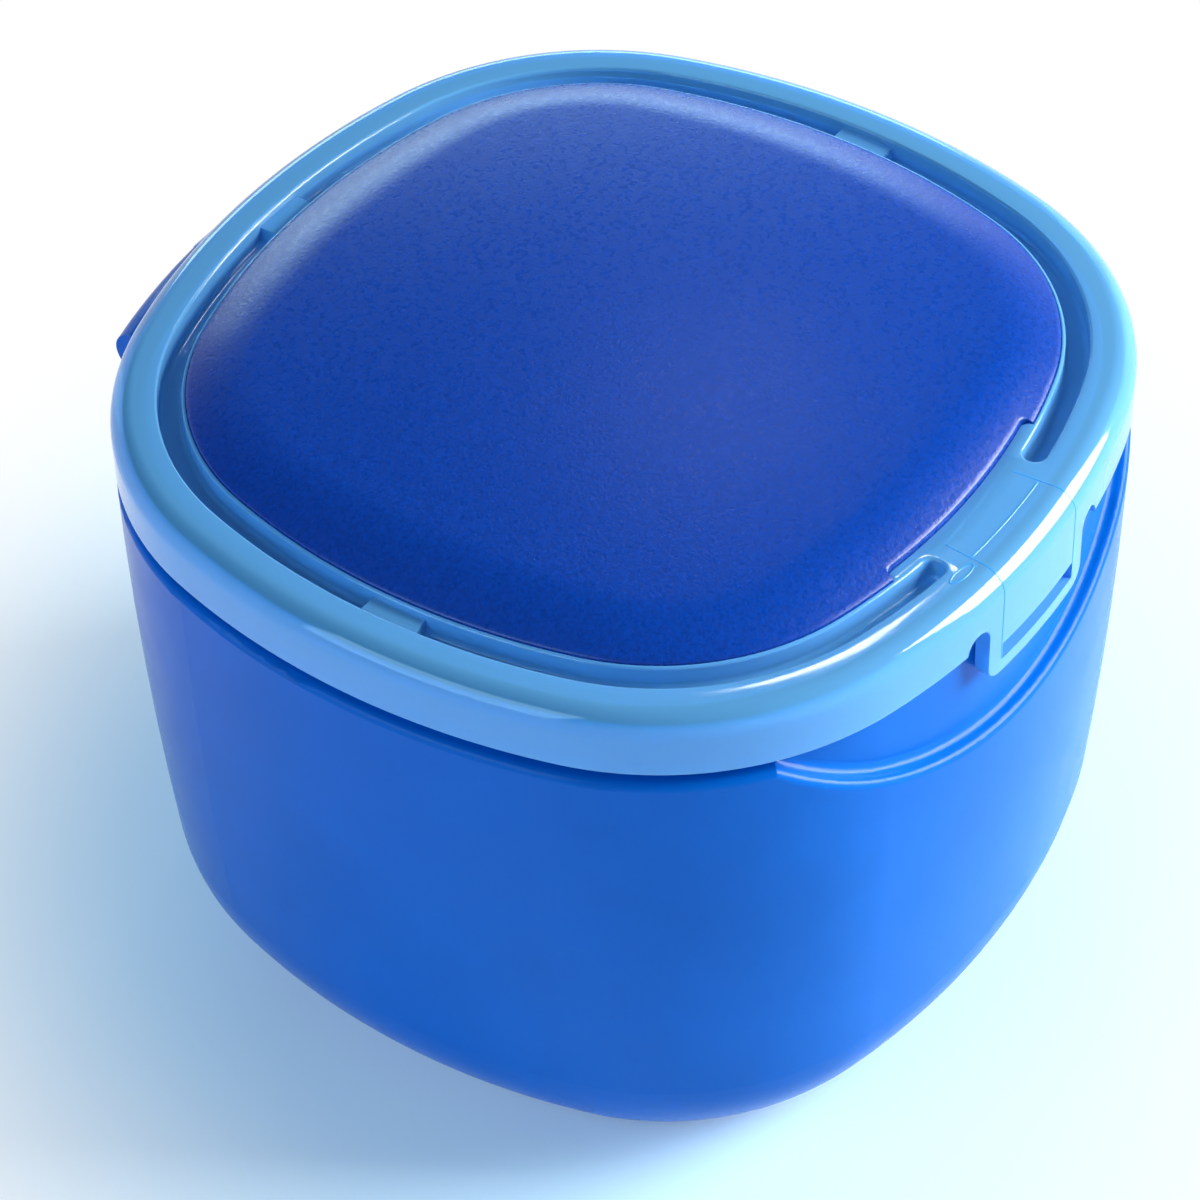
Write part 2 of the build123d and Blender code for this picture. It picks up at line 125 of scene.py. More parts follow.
def outline(turn, inset):
    """Arc centre + (arc radius - inset) * outward normal, the side's arc or the corner's by the turn."""
    quarter = np.round(turn / 90) * 90
    off = np.radians(turn - quarter)
    on_side = np.abs(off) < LEAN
    side_centre = -SIDE_DROP * outward(quarter)
    corner_centre = CORNER_PLACE * (outward(quarter) + np.sign(off) * outward(quarter + 90))
    centre = np.where(on_side, side_centre, corner_centre)
    radius = np.where(on_side, SIDE_RADIUS, CORNER_RADIUS)
    return centre[:, None, :] + (radius - inset)[None] * outward(turn)[:, None, :]


print("corner arcs centred at", round(CORNER_PLACE, 3), "mm")
print("each side spans", round(math.degrees(LEAN), 2), "degrees either way")

# %% [markdown]
# Features such as the latch tab start and stop along the outline. A grid only
# follows a feature when it has a column there, so even columns are mixed with
# extra ones at the feature's ends, and a pair of columns a hair apart makes an
# upright step. The case is the same on its left and right, so half of the turns
# are worked out and mirrored.

# %% Columns of the grid
EVEN_STEP = 0.75
HAIR = 0.004


def turn_at(place, radius, middle=0.0):
    """Turn of a point at this distance along a side from its middle, on an arc of this radius."""
    return middle + np.degrees(np.arcsin(np.asarray(place, dtype=float) / radius))


def step_at(turn):
    """Two turns a hair apart, for an upright step."""
    return np.concatenate([np.atleast_1d(turn) - HAIR, np.atleast_1d(turn) + HAIR])


def columns(*features):
    """Even turns and the features' turns, mirrored to the other half and sorted."""
    half = np.concatenate([np.arange(0, 180 + EVEN_STEP / 2, EVEN_STEP), *features])
    half = np.unique(np.round(half, 5))
    return np.concatenate([-half[(half > 0) & (half < 180)][::-1], half])


print("even columns:", len(columns()))

# %% [markdown]
# A piece is a list of rows, each a distance inwards and a height for every column.
# The rows run once round the section and the columns once round the case, so both
# ends join. Where a feature makes rows meet, the doubles are merged, and edges
# left without a face are deleted. Then the normals are recalculated, and edges
# sharper than an angle stay crisp while the rest is shaded smooth. Each piece
# prints how many of its edges don't have exactly two faces.

# %% From rows to a mesh
MERGE = 2e-7
CRISP = math.radians(38)


def ring_points(turns, rows):
    """Grid of points: x and y from the outline at each row's inset, z from its height above the rim."""
    inset = np.stack([np.broadcast_to(np.asarray(row[0], dtype=float), turns.shape) for row in rows])
    height = np.stack([np.broadcast_to(np.asarray(row[1], dtype=float), turns.shape) for row in rows])
    level = outline(turns, inset)
    return np.concatenate([level, (RIM_TOP + height)[None]])


def grid_faces(row_count, column_count, close_columns=True):
    """Four corners of each cell, as row * columns + column; rows wrap round, and columns if they close."""
    index = np.arange(row_count * column_count).reshape(row_count, column_count)
    below = np.roll(index, -1, axis=0)
    beside = np.roll(index, -1, axis=1)
    across = np.roll(below, -1, axis=1)
    cells = np.stack([index, beside, across, below], axis=-1)
    return cells if close_columns else cells[:, :-1]


def add_piece(name, points, faces, body, material, stands_for=()):
    """Mesh from points in millimetres, tidied, shaded, and tied to its body and its material."""
    mesh = bpy.data.meshes.new(name)
    mesh.from_pydata((points.reshape(3, -1).T * MM).tolist(), [], faces.reshape(-1, 4).tolist())
    work = bmesh.new()
    work.from_mesh(mesh)
    bmesh.ops.remove_doubles(work, verts=work.verts, dist=MERGE)
    bmesh.ops.dissolve_degenerate(work, edges=work.edges, dist=MERGE)
    bmesh.ops.delete(work, geom=[edge for edge in work.edges if edge.is_wire], context="EDGES")
    bmesh.ops.recalc_face_normals(work, faces=work.faces)
    open_edges = sum(not edge.is_manifold for edge in work.edges)
    work.to_mesh(mesh)
    work.free()
    mesh.shade_smooth()
    mesh.set_sharp_from_angle(angle=CRISP)
    mesh.materials.append(material)
    piece = bpy.data.objects.new(name, mesh)
    bpy.context.scene.collection.objects.link(piece)
    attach(piece, body)
    if stands_for:
        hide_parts(*stands_for)
    print(name, "faces:", len(mesh.polygons), "open edges:", open_edges)
    return piece


# %% [markdown]
# Every finish starts from the Principled shader. Its plain numbers are set on the
# shader's own sockets, and only what varies over the surface comes through nodes.
# Patterns read Object coordinates, in metres, so a noise scale of 1000 gives
# features about a millimetre across.

# %% Helpers for finishes
def new_finish(name, colour, roughness, **sockets):
    """A material whose Principled shader has this colour and roughness, and these other sockets."""
    material = bpy.data.materials.new(name)
    material.use_nodes = True
    shader = material.node_tree.nodes["Principled BSDF"]
    shader.inputs["Base Color"].default_value = (*colour, 1)
    shader.inputs["Roughness"].default_value = roughness
    for socket, value in sockets.items():
        shader.inputs[socket.replace("_", " ")].default_value = value
    return material


def add_noise(material, scale, detail=3.0, roughness=0.5):
    """Noise over Object coordinates, as the output that holds its grey value."""
    nodes, links = material.node_tree.nodes, material.node_tree.links
    place = nodes.new("ShaderNodeTexCoord")
    noise = nodes.new("ShaderNodeTexNoise")
    noise.inputs["Scale"].default_value = scale
    noise.inputs["Detail"].default_value = detail
    noise.inputs["Roughness"].default_value = roughness
    links.new(place.outputs["Object"], noise.inputs["Vector"])
    return noise.outputs["Fac"]


def vary(material, socket, source, low, high, start=0.3, end=0.7):
    """Drive a shader socket from grey noise: start to end of the noise becomes low to high."""
    nodes, links = material.node_tree.nodes, material.node_tree.links
    shader = nodes["Principled BSDF"]
    if isinstance(low, tuple):
        ramp = nodes.new("ShaderNodeValToRGB")
        ramp.color_ramp.elements[0].position, ramp.color_ramp.elements[1].position = start, end
        ramp.color_ramp.elements[0].color = (*low, 1)
        ramp.color_ramp.elements[1].color = (*high, 1)
        links.new(source, ramp.inputs["Fac"])
        links.new(ramp.outputs["Color"], shader.inputs[socket])
        return
    remap = nodes.new("ShaderNodeMapRange")
    for key, value in (("From Min", start), ("From Max", end), ("To Min", low), ("To Max", high)):
        remap.inputs[key].default_value = value
    links.new(source, remap.inputs["Value"])
    links.new(remap.outputs["Result"], shader.inputs[socket])


def add_bump(material, source, height, strength):
    """Shade the surface as if the noise stood this many metres high."""
    nodes, links = material.node_tree.nodes, material.node_tree.links
    bump = nodes.new("ShaderNodeBump")
    bump.inputs["Strength"].default_value = strength
    bump.inputs["Distance"].default_value = height
    links.new(source, bump.inputs["Height"])
    links.new(bump.outputs["Normal"], nodes["Principled BSDF"].inputs["Normal"])


print("helpers ready")

# %% [markdown]
# The bowl is polypropylene in a deep blue, satin from the mould. A flat colour
# would look like paint, so very soft clouds change the blue a little, as pigment
# does in a moulding, and a faint unevenness breaks up the sheen on the walls.

# %% Blue bowl
BODY_BLUE = np.array([0.0, 0.11, 0.48])
body_plastic = new_finish("blue_moulding", tuple(BODY_BLUE), 0.24, Specular_IOR_Level=0.1)
body_clouds = add_noise(body_plastic, 60, detail=2)
vary(body_plastic, "Base Color", body_clouds, tuple(0.94 * BODY_BLUE), tuple(1.06 * BODY_BLUE))
vary(body_plastic, "Roughness", add_noise(body_plastic, 260), 0.21, 0.27)

# %% [markdown]
# The lid's frame is clear plastic with a pale blue tint, about 2 mm thick over a
# pale seal, and it looks bright. A fully clear shader shows every dark gap under
# the rim instead. So only part of the light goes through here, and the rest
# scatters in pale blue.

# %% Clear lid
RIM_BLUE = np.array([0.17, 0.54, 1.0])
clear_plastic = new_finish("clear_tinted", tuple(RIM_BLUE), 0.07, Transmission_Weight=0.5, IOR=1.49)
vary(clear_plastic, "Roughness", add_noise(clear_plastic, 400), 0.05, 0.09)

# %% [markdown]
# The panel has an even grain, like fine leather or sand, from an etched mould. It
# is too fine to model, so it is a bump from one noise, with grains of about a third
# of a millimetre and finer ones on their edges. The same noise changes the blue a
# little. The grain scatters the sheen and frays the edge of each reflection.

# %% Grained panel
PANEL_BLUE = np.array([0.0, 0.040, 0.30])
panel_plastic = new_finish("grained_blue", tuple(PANEL_BLUE), 0.3, Specular_IOR_Level=0.35)
grain = add_noise(panel_plastic, 2600, detail=4, roughness=0.6)
vary(panel_plastic, "Base Color", grain, tuple(0.82 * PANEL_BLUE), tuple(1.18 * PANEL_BLUE), 0.35, 0.65)
vary(panel_plastic, "Roughness", add_noise(panel_plastic, 1500), 0.24, 0.34)
add_bump(panel_plastic, grain, 0.0001, 0.35)

# %% [markdown]
# Three pieces hardly show: the seal under the rim, the hinge pin inside its
# barrel, and the strainer basket in the bowl. They get their own finishes all the
# same, because the lid opens.

# %% Seal, pin and basket
seal_rubber = new_finish("soft_seal", (0.16, 0.46, 0.92), 0.45, Specular_IOR_Level=0.3)
vary(seal_rubber, "Roughness", add_noise(seal_rubber, 900), 0.4, 0.55)
pin_steel = new_finish("drawn_wire", (0.62, 0.63, 0.65), 0.28, Metallic=1.0)
vary(pin_steel, "Roughness", add_noise(pin_steel, 3000), 0.22, 0.36)
basket_plastic = new_finish("white_moulding", (0.80, 0.85, 0.90), 0.38, Specular_IOR_Level=0.4)
vary(basket_plastic, "Roughness", add_noise(basket_plastic, 300), 0.34, 0.46)
add_bump(basket_plastic, add_noise(basket_plastic, 900, detail=2), 0.00004, 0.1)

node_finishes = {"case_body": body_plastic, "lid_seal": seal_rubber, "hinge_pin": pin_steel,
                 "strainer_basket": basket_plastic}
for node, material in node_finishes.items():
    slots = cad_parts[node].data.materials
    slots.clear()
    slots.append(material)
print("finished nodes:", sorted(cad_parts))

# %% [markdown]
# The latch land is the flat place in front of the panel. The panel's edge steps
# back round it, with rounded ends, and the lid's lip steps back by as much.

# %% The edge between lip and panel
LIP_INSET = 7.3
LAND_STEP = 1.05
LAND_HALF = 12.3
LAND_TIP = 0.8
LAND_RADIUS = SIDE_RADIUS - LIP_INSET - LAND_STEP


def land_edge(turns, gap):
    """Inset of the lip: wider by the land's step near the front's middle, with round ends.

    Beyond the tip's centre the step shrinks by tip - sqrt(tip**2 - distance**2).
    """
    along = LAND_RADIUS * np.sin(np.radians(np.abs(turns)))
    front = np.abs(turns) < 90
    tip = LAND_TIP + gap
    past = np.clip(along - (LAND_HALF - LAND_TIP), 0, tip)
    step = LAND_STEP - tip + np.sqrt(tip ** 2 - past ** 2)
    on_land = front & (along <= LAND_HALF + gap)
    return LIP_INSET + gap + np.where(on_land, step, 0)


LAND_TURNS = turn_at(LAND_HALF - LAND_TIP + LAND_TIP * np.sin(np.radians(np.arange(0, 91, 12))), LAND_RADIUS)
print("land step in mm:", land_edge(np.array([0.0]), 0).round(2))

# %% [markdown]
# The channel round the panel is the dark line that one sees first. It has flared
# edges, straight walls and a floor with rounded corners, and it ends in a half
# round either side of the latch. A round end is the same section turned about a
# point, so at a distance past that point each half width w narrows to
# sqrt(w * w - distance * distance).

# %% The channel's section
CHANNEL_MIDDLE = 5.75
CHANNEL_HALF = 1.15
CHANNEL_FLARE = 0.3
CHANNEL_DEPTH = 2.4
FLOOR_RADIUS = 0.6
CHANNEL_END = 9.2
CHANNEL_ARC = SIDE_RADIUS - CHANNEL_MIDDLE
BRIDGE_DEPTH = 0.8
BRIDGE_HALF = 2.9
SIDE_BRIDGE_SHIFT = 1.6
SECTION_STEP = 18

quarter_turn = np.radians(np.arange(0, 91, SECTION_STEP))
HALF_WIDTHS = np.concatenate([CHANNEL_HALF + CHANNEL_FLARE * (1 - np.sin(quarter_turn)),
                              CHANNEL_HALF - FLOOR_RADIUS * (1 - np.cos(quarter_turn))])
DEPTHS = np.concatenate([CHANNEL_FLARE * (1 - np.cos(quarter_turn)),
                         CHANNEL_DEPTH - FLOOR_RADIUS * (1 - np.sin(quarter_turn))])


def bridge_stops():
    """Turns where the three shallow stretches of the channel start and stop."""
    side = turn_at([-SIDE_BRIDGE_SHIFT - BRIDGE_HALF, -SIDE_BRIDGE_SHIFT + BRIDGE_HALF], CHANNEL_ARC, 90)
    back = turn_at([-BRIDGE_HALF], CHANNEL_ARC, 180)
    return side, back


def channel_rows(turns):
    """Rows down one flank and up the other; half widths narrow past the end's centre, depths stop there."""
    angle = np.abs(turns)
    past = np.where(angle < 90, CHANNEL_END - CHANNEL_ARC * np.sin(np.radians(angle)), 0).clip(0)
    order = np.argsort(HALF_WIDTHS, kind="stable")
    reach = np.interp(past, HALF_WIDTHS[order], DEPTHS[order], right=0.0)
    side, back = bridge_stops()
    bridged = ((angle > side[0]) & (angle < side[1])) | (angle > back[0])
    deepest = np.where(bridged, np.minimum(BRIDGE_DEPTH, reach), reach)
    deepest = np.where(past > 0, deepest, np.where(bridged, BRIDGE_DEPTH, CHANNEL_DEPTH))
    outer, inner = [], []
    for width, depth in zip(HALF_WIDTHS, DEPTHS):
        narrowed = np.sqrt(np.maximum(width ** 2 - past ** 2, 0))
        level = -np.minimum(depth, deepest)
        outer.append((CHANNEL_MIDDLE - narrowed, level))
        inner.append((CHANNEL_MIDDLE + narrowed, level))
    return inner + [(CHANNEL_MIDDLE, -deepest)] + outer[::-1]


END_COLUMNS = 15
END_MARGIN = 0.02
end_start = CHANNEL_END - CHANNEL_HALF - CHANNEL_FLARE - END_MARGIN
END_TURNS = turn_at(np.linspace(end_start, CHANNEL_END, END_COLUMNS), CHANNEL_ARC)
print("channel rows:", len(channel_rows(np.array([0.0, 45.0]))))

# %% [markdown]
# The skirt hangs from the rim all round. At the front it runs down into the latch
# tab, which two round notches set free, and at the back it stops short round the
# hinge's two knuckles. All of that is one height for each column: how far down
# the skirt goes there.

# %% The skirt's lower edge
SKIRT_WALL = 1.6
SKIRT_BOTTOM = -6.6
TAB_HALF = 8.4
TAB_BOTTOM = -12.4
TAB_CORNER = 1.8
NOTCH_RADIUS = 1.6
HINGE_OUTSET = 1.5
HINGE_BELOW = -7.5
KNUCKLE_ROOM = 2.7
BARREL_HALF = 4.1
KNUCKLE_END = 19.3
EDGE_ROUND = 0.25
EDGE_ROWS = 5
PAST_ALL = 99.0


def skirt_bottom(turns):
    """Lowest height of the skirt: the tab with round corners, a circle's upper half in each notch."""
    along = np.where(np.abs(turns) < 90, SIDE_RADIUS * np.sin(np.radians(np.abs(turns))), PAST_ALL)
    past = np.clip(along - (TAB_HALF - TAB_CORNER), 0, TAB_CORNER)
    tab = TAB_BOTTOM + TAB_CORNER - np.sqrt(TAB_CORNER ** 2 - past ** 2)
    off = along - TAB_HALF - NOTCH_RADIUS
    notch = SKIRT_BOTTOM + np.sqrt(np.maximum(NOTCH_RADIUS ** 2 - off ** 2, 0))
    return np.where(along < TAB_HALF, tab, notch)


def at_knuckle(turns):
    """Whether a column passes through the room for a knuckle."""
    along = SIDE_RADIUS * np.sin(np.radians(180 - np.abs(turns)))
    return (np.abs(turns) > 90) & (along > BARREL_HALF) & (along < KNUCKLE_END)


def lower_edge_rows(turns):
    """Outer to inner over the lower edge: a small round both sides, or the knuckle's circle at the hinge."""
    bottom = skirt_bottom(turns)
    cut = at_knuckle(turns)
    meet = math.sqrt(KNUCKLE_ROOM ** 2 - (SKIRT_BOTTOM - HINGE_BELOW) ** 2) - HINGE_OUTSET
    rows = []
    for share in np.linspace(0, 1, EDGE_ROWS):
        lean = share * math.pi / 2
        inset = EDGE_ROUND * (1 - math.cos(lean))
        height = bottom + EDGE_ROUND * (1 - math.sin(lean))
        cut_inset = share * meet
        cut_height = HINGE_BELOW + math.sqrt(KNUCKLE_ROOM ** 2 - (cut_inset + HINGE_OUTSET) ** 2)
        rows.append((np.where(cut, cut_inset, inset), np.where(cut, cut_height, height)))
    for lean in np.radians(np.linspace(90, 0, EDGE_ROWS)):
        inset = SKIRT_WALL - EDGE_ROUND * (1 - math.cos(lean))
        rows.append((np.full(turns.shape, inset), bottom + EDGE_ROUND * (1 - math.sin(lean))))
    return rows


TAB_TURNS = turn_at(TAB_HALF - TAB_CORNER + TAB_CORNER * np.sin(np.radians(np.arange(0, 86, 9))), SIDE_RADIUS)
NOTCH_TURNS = turn_at(TAB_HALF + NOTCH_RADIUS * (1 - np.cos(np.radians(np.arange(9, 181, 9)))), SIDE_RADIUS)
KNUCKLE_STOPS = turn_at([-KNUCKLE_END, -BARREL_HALF], SIDE_RADIUS, 180)
print("skirt ends at", SKIRT_BOTTOM, "and the tab at", TAB_BOTTOM, "mm from the rim's top")

# %% [markdown]
# Now the whole section of the lid's frame, once round: up the lip beside the
# panel, through the channel, over the rim and its rounding, down the skirt, round
# its lower edge, up the inside, through the pocket for the seal and back under the
# panel's ledge. The window in the latch tab is a block of cells left out of the
# outer and the inner skin, joined by four walls.

# %% The lid's frame
RIM_ROUND = 2.4
POCKET_ROOF = -1.8
POCKET_END = 3.4
UNDERSIDE = -3.6
SEAT_INSET = 10.3
SEAT_LEVEL = -1.9
LIP_ROUND = 0.08
LIP_BEVEL = 0.3
FLAT_STOP = 3.6
RIM_STEP = 7.5
WINDOW_HALF = 6.4
WINDOW_TOP = -8.7
WINDOW_BOTTOM = -10.7
SKIRT_LEVELS = (-3.6, -4.8, -6.0, -7.4, WINDOW_TOP, -9.7, WINDOW_BOTTOM, -11.6)


def lid_rows(turns):
    """All rows of the section, and where the skirt's outer and inner rows start in that list."""
    edge = land_edge(turns, 0)
    bevel = LIP_BEVEL * LIP_ROUND
    rows = [(edge, SEAT_LEVEL), (edge, -LIP_ROUND), (edge - bevel, -bevel), (edge - LIP_ROUND, 0)]
    rows += channel_rows(turns)
    rows += [(FLAT_STOP, 0)]
    for lean in np.radians(np.arange(0, 91, RIM_STEP)):
        rows.append((RIM_ROUND * (1 - math.sin(lean)), -RIM_ROUND * (1 - math.cos(lean))))
    lower = lower_edge_rows(turns)
    outer_start = len(rows)
    rows += [(0, np.maximum(level, lower[0][1])) for level in SKIRT_LEVELS]
    rows += lower
    inner_start = len(rows)
    rows += [(SKIRT_WALL, np.maximum(level, lower[-1][1])) for level in SKIRT_LEVELS[::-1]]
    rows += [(SKIRT_WALL, POCKET_ROOF), (POCKET_END, POCKET_ROOF), (POCKET_END, UNDERSIDE)]
    rows += [(SEAT_INSET, UNDERSIDE), (SEAT_INSET, SEAT_LEVEL)]
    return rows, outer_start, inner_start


def windowed(cells, turns, outer_start, inner_start):
    """Leave out the window's cells in both skins, and join their borders with walls."""
    top, bottom = SKIRT_LEVELS.index(WINDOW_TOP), SKIRT_LEVELS.index(WINDOW_BOTTOM)
    outer = np.arange(outer_start + top, outer_start + bottom + 1)
    inner = inner_start + len(SKIRT_LEVELS) - 1 - np.arange(top, bottom + 1)
    window_turn = turn_at(WINDOW_HALF, SIDE_RADIUS)
    inside = np.flatnonzero(np.abs(turns) <= window_turn + HAIR)
    across = inside[:-1]
    kept = np.ones(cells.shape[:2], dtype=bool)
    kept[np.ix_(outer[:-1], across)] = False
    kept[np.ix_(inner[1:], across)] = False
    point = np.arange(cells.shape[0] * cells.shape[1]).reshape(cells.shape[:2])
    walls = []
    for out_row, in_row in ((outer[0], inner[0]), (outer[-1], inner[-1])):
        walls.append(np.stack([point[out_row, across], point[out_row, across + 1],
                               point[in_row, across + 1], point[in_row, across]], axis=-1))
    for side in (inside[0], inside[-1]):
        walls.append(np.stack([point[outer[:-1], side], point[outer[1:], side],
                               point[inner[1:], side], point[inner[:-1], side]], axis=-1))
    return np.concatenate([cells[kept], *walls])


lid_turns = columns(LAND_TURNS, step_at(turn_at(LAND_HALF, LAND_RADIUS)), END_TURNS, TAB_TURNS, NOTCH_TURNS,
                    step_at(turn_at(TAB_HALF, SIDE_RADIUS)), step_at(KNUCKLE_STOPS),
                    step_at(np.concatenate(bridge_stops())), np.atleast_1d(turn_at(WINDOW_HALF, SIDE_RADIUS)))
rows, outer_start, inner_start = lid_rows(lid_turns)
lid_cells = windowed(grid_faces(len(rows), len(lid_turns)), lid_turns, outer_start, inner_start)
add_piece("clear_frame", ring_points(lid_turns, rows), lid_cells, "lid", clear_plastic,
          stands_for=("lid_frame",))

# %% [markdown]
# Between the two knuckles the lid has its own barrel for the hinge pin. It is a
# section carried along X: a circle whose quarter towards the lid is squared off,
# where it grows out of the skirt. The ends shrink a little to round them, and the
# last row joins the first one through the middle, as the bore for the pin.

# %% The lid's hinge barrel
BARREL_RADIUS = 2.4
BARREL_ROUND = 0.25
BARREL_COLUMNS = 72
BORE_SHARE = 0.34


def barrel_points():
    """Axis + radius * (cos, sin), pushed out to a square in the quarter up and towards the lid."""
    angle = np.arange(BARREL_COLUMNS) * 2 * np.pi / BARREL_COLUMNS
    across, up = np.cos(angle), np.sin(angle)
    squared = (across <= 1e-9) & (up >= -1e-9)
    push = np.where(squared, 1 / np.maximum(np.abs(across), np.abs(up)), 1)
    lean = np.radians(np.arange(0, 91, 30))
    end_place = BARREL_HALF - BARREL_ROUND * (1 - np.sin(lean))
    end_scale = 1 - BARREL_ROUND / BARREL_RADIUS * (1 - np.cos(lean))
    along = np.concatenate([[-BARREL_HALF], -end_place[::-1], end_place, [BARREL_HALF]])
    scale = np.concatenate([[BORE_SHARE], end_scale[::-1], end_scale, [BORE_SHARE]])
    radius = BARREL_RADIUS * scale[:, None] * push
    x = np.broadcast_to(along[:, None], radius.shape)
    return np.stack([x, HALF_WIDTH + HINGE_OUTSET + radius * across, RIM_TOP + HINGE_BELOW + radius * up])


barrel = barrel_points()
add_piece("clear_barrel", barrel, grid_faces(barrel.shape[1], barrel.shape[2]), "lid",
          clear_plastic, stands_for=("lid_frame",))

# %% [markdown]
# The panel is crowned: a broad sphere in the middle, falling away along an even
# slope to its edge. The lower of the two heights would leave a crease, so a smooth
# minimum blends them over a small height. Rings follow the outline as far as the
# middle plate, and from there they shrink towards the centre. The underside is the
# same surface, lower, with a foot that stands on the lid's ledge.

# %% The crowned panel
PANEL_GAP = 0.05
EDGE_RISE = 0.2
EDGE_SLOPE = math.tan(math.radians(25))
MARGIN = 3.6
CROWN_RADIUS = 300.0
BLEND = 0.96
PANEL_WALL = 2.1
FOOT_WIDTH = 2.0
CORE_INSET = 29.0
PANEL_ROUND = 0.12
DENSE_SHARE = 0.42
DENSE_RINGS = 26
SPARSE_RINGS = 12
CORE_RINGS = 14
ON_SPHERE = 128.0
CORNER_REACH = CORNER_PLACE * math.sqrt(2) + CORNER_RADIUS - LIP_INSET - PANEL_GAP - MARGIN
CROWN_DROP = math.sqrt(CROWN_RADIUS ** 2 - CORNER_REACH ** 2) - EDGE_RISE - MARGIN * EDGE_SLOPE


def crown_height(level, inset):
    """Smooth minimum of sphere and slope: the lower one, less (k - difference)**2 / (4k) near the crease."""
    sphere = np.sqrt(CROWN_RADIUS ** 2 - level[0] ** 2 - level[1] ** 2) - CROWN_DROP
    slope = EDGE_RISE + (inset - LIP_INSET - PANEL_GAP) * EDGE_SLOPE
    near = np.maximum(BLEND - np.abs(sphere - slope), 0)
    return np.minimum(sphere, slope) - near ** 2 / (4 * BLEND)


def crown_rings(turns, first_inset, lowered):
    """Rings of the crown from an inset to the centre, all lowered by as much.

    In the core the inset is set so high that only the sphere counts.
    """
    reach = CORE_INSET - first_inset
    share = np.concatenate([np.linspace(0, DENSE_SHARE, DENSE_RINGS)[:-1],
                            np.linspace(DENSE_SHARE, 1, SPARSE_RINGS)])
    inset = first_inset + reach * share[:, None]
    level = outline(turns, inset)
    rings = np.concatenate([level, (crown_height(level, inset) - lowered)[None]])
    shrink = np.linspace(1, 0, CORE_RINGS)[1:, None]
    core = shrink * level[:, -1:, :]
    sphere_only = np.full(core.shape[1:], ON_SPHERE)
    core = np.concatenate([core, (crown_height(core, sphere_only) - lowered)[None]])
    return np.concatenate([rings, core], axis=1)


def panel_points(turns):
    """Foot, upright edge with a small round, crown to the centre, and the underside back out to the foot."""
    edge = land_edge(turns, PANEL_GAP)
    level = outline(turns, edge[None])
    edge_top = crown_height(level, edge[None])[0]
    bevel = PANEL_ROUND * (1 - math.cos(math.pi / 4))
    rows = [(edge, SEAT_LEVEL), (edge, edge_top - PANEL_ROUND), (edge + bevel, edge_top - bevel)]
    skirt = ring_points(turns, rows)
    top = crown_rings(turns, edge + PANEL_ROUND, 0.0)
    under = crown_rings(turns, edge + FOOT_WIDTH, PANEL_WALL)[:, ::-1]
    foot = ring_points(turns, [(edge + FOOT_WIDTH, SEAT_LEVEL)])
    lift = np.array([0, 0, RIM_TOP])[:, None, None]
    return np.concatenate([skirt, top + lift, under + lift, foot], axis=1)


panel_turns = columns(LAND_TURNS, step_at(turn_at(LAND_HALF + PANEL_GAP, LAND_RADIUS)))
panel = panel_points(panel_turns)
add_piece("crowned_panel", panel, grid_faces(panel.shape[1], panel.shape[2]), "lid",
          panel_plastic, stands_for=("lid_panel",))

# %% [markdown]
# The mould for the lid had an insert behind the latch, and its border shows as
# hairlines over the rim. A texture could draw them, but then the shape would lack
# them, so each one is a thin raised thread: a flat little ellipse carried along a
# path on the lid's skin, with both ends pinched to a point.

# %% Hairlines of the mould insert
LINE_WIDTH = 0.09
LINE_HEIGHT = 0.045
LINE_SIDES = 8
LINE_POINTS = 60
LINE_START = -4.4
LINE_DOWN_SKIRT = 8.2
LINE_PLACE = 6.45
ACROSS_HALF = 6.4
ACROSS_POINTS = 40
MARK_PLACE = -8.75
MARK_HALF = 1.7
MARK_WIDTH = 0.5
MARK_POINTS = 48
ROUND_LENGTH = RIM_ROUND * math.pi / 2
ACROSS_RUN = RIM_ROUND - 3.9
MARK_RUN = RIM_ROUND - 3.3


def over_rim(turns, run):
    """Points and normals on the lid's skin at a run outwards from where the rounding starts.

    The rim is flat before it, the rounding is a quarter circle, and the skirt falls upright after it.
    """
    lean = np.clip(run / RIM_ROUND, 0, math.pi / 2)
    inset = RIM_ROUND * (1 - np.sin(lean)) - np.minimum(run, 0)
    height = -RIM_ROUND * (1 - np.cos(lean)) - np.maximum(run - ROUND_LENGTH, 0)
    level = outline(turns, inset[None])[:, 0]
    normal = np.concatenate([outward(turns) * np.sin(lean), np.cos(lean)[None]])
    return np.concatenate([level, (RIM_TOP + height)[None]]), normal


def add_hairline(name, turns, run, closed=False):
    """Path + width * cos * side + height * sin * normal, round the path, for a thread along the skin."""
    path, normal = over_rim(turns, run)
    along = np.gradient(path, axis=1)
    if closed:
        along = np.roll(path, -1, axis=1) - np.roll(path, 1, axis=1)
    side = np.cross(along, normal, axis=0)
    side /= np.linalg.norm(side, axis=0)
    thick = np.ones(path.shape[1])
    if not closed:
        thick[[0, -1]] = 0
    angle = np.arange(LINE_SIDES) * math.pi / 4
    across = (LINE_WIDTH * np.cos(angle)[:, None] * thick)[None] * side[:, None]
    up = (LINE_HEIGHT * np.sin(angle)[:, None] * thick)[None] * normal[:, None]
    points = path[:, None] + across + up
    faces = grid_faces(points.shape[1], points.shape[2], close_columns=closed)
    add_piece(name, points, faces, "lid", line_plastic)


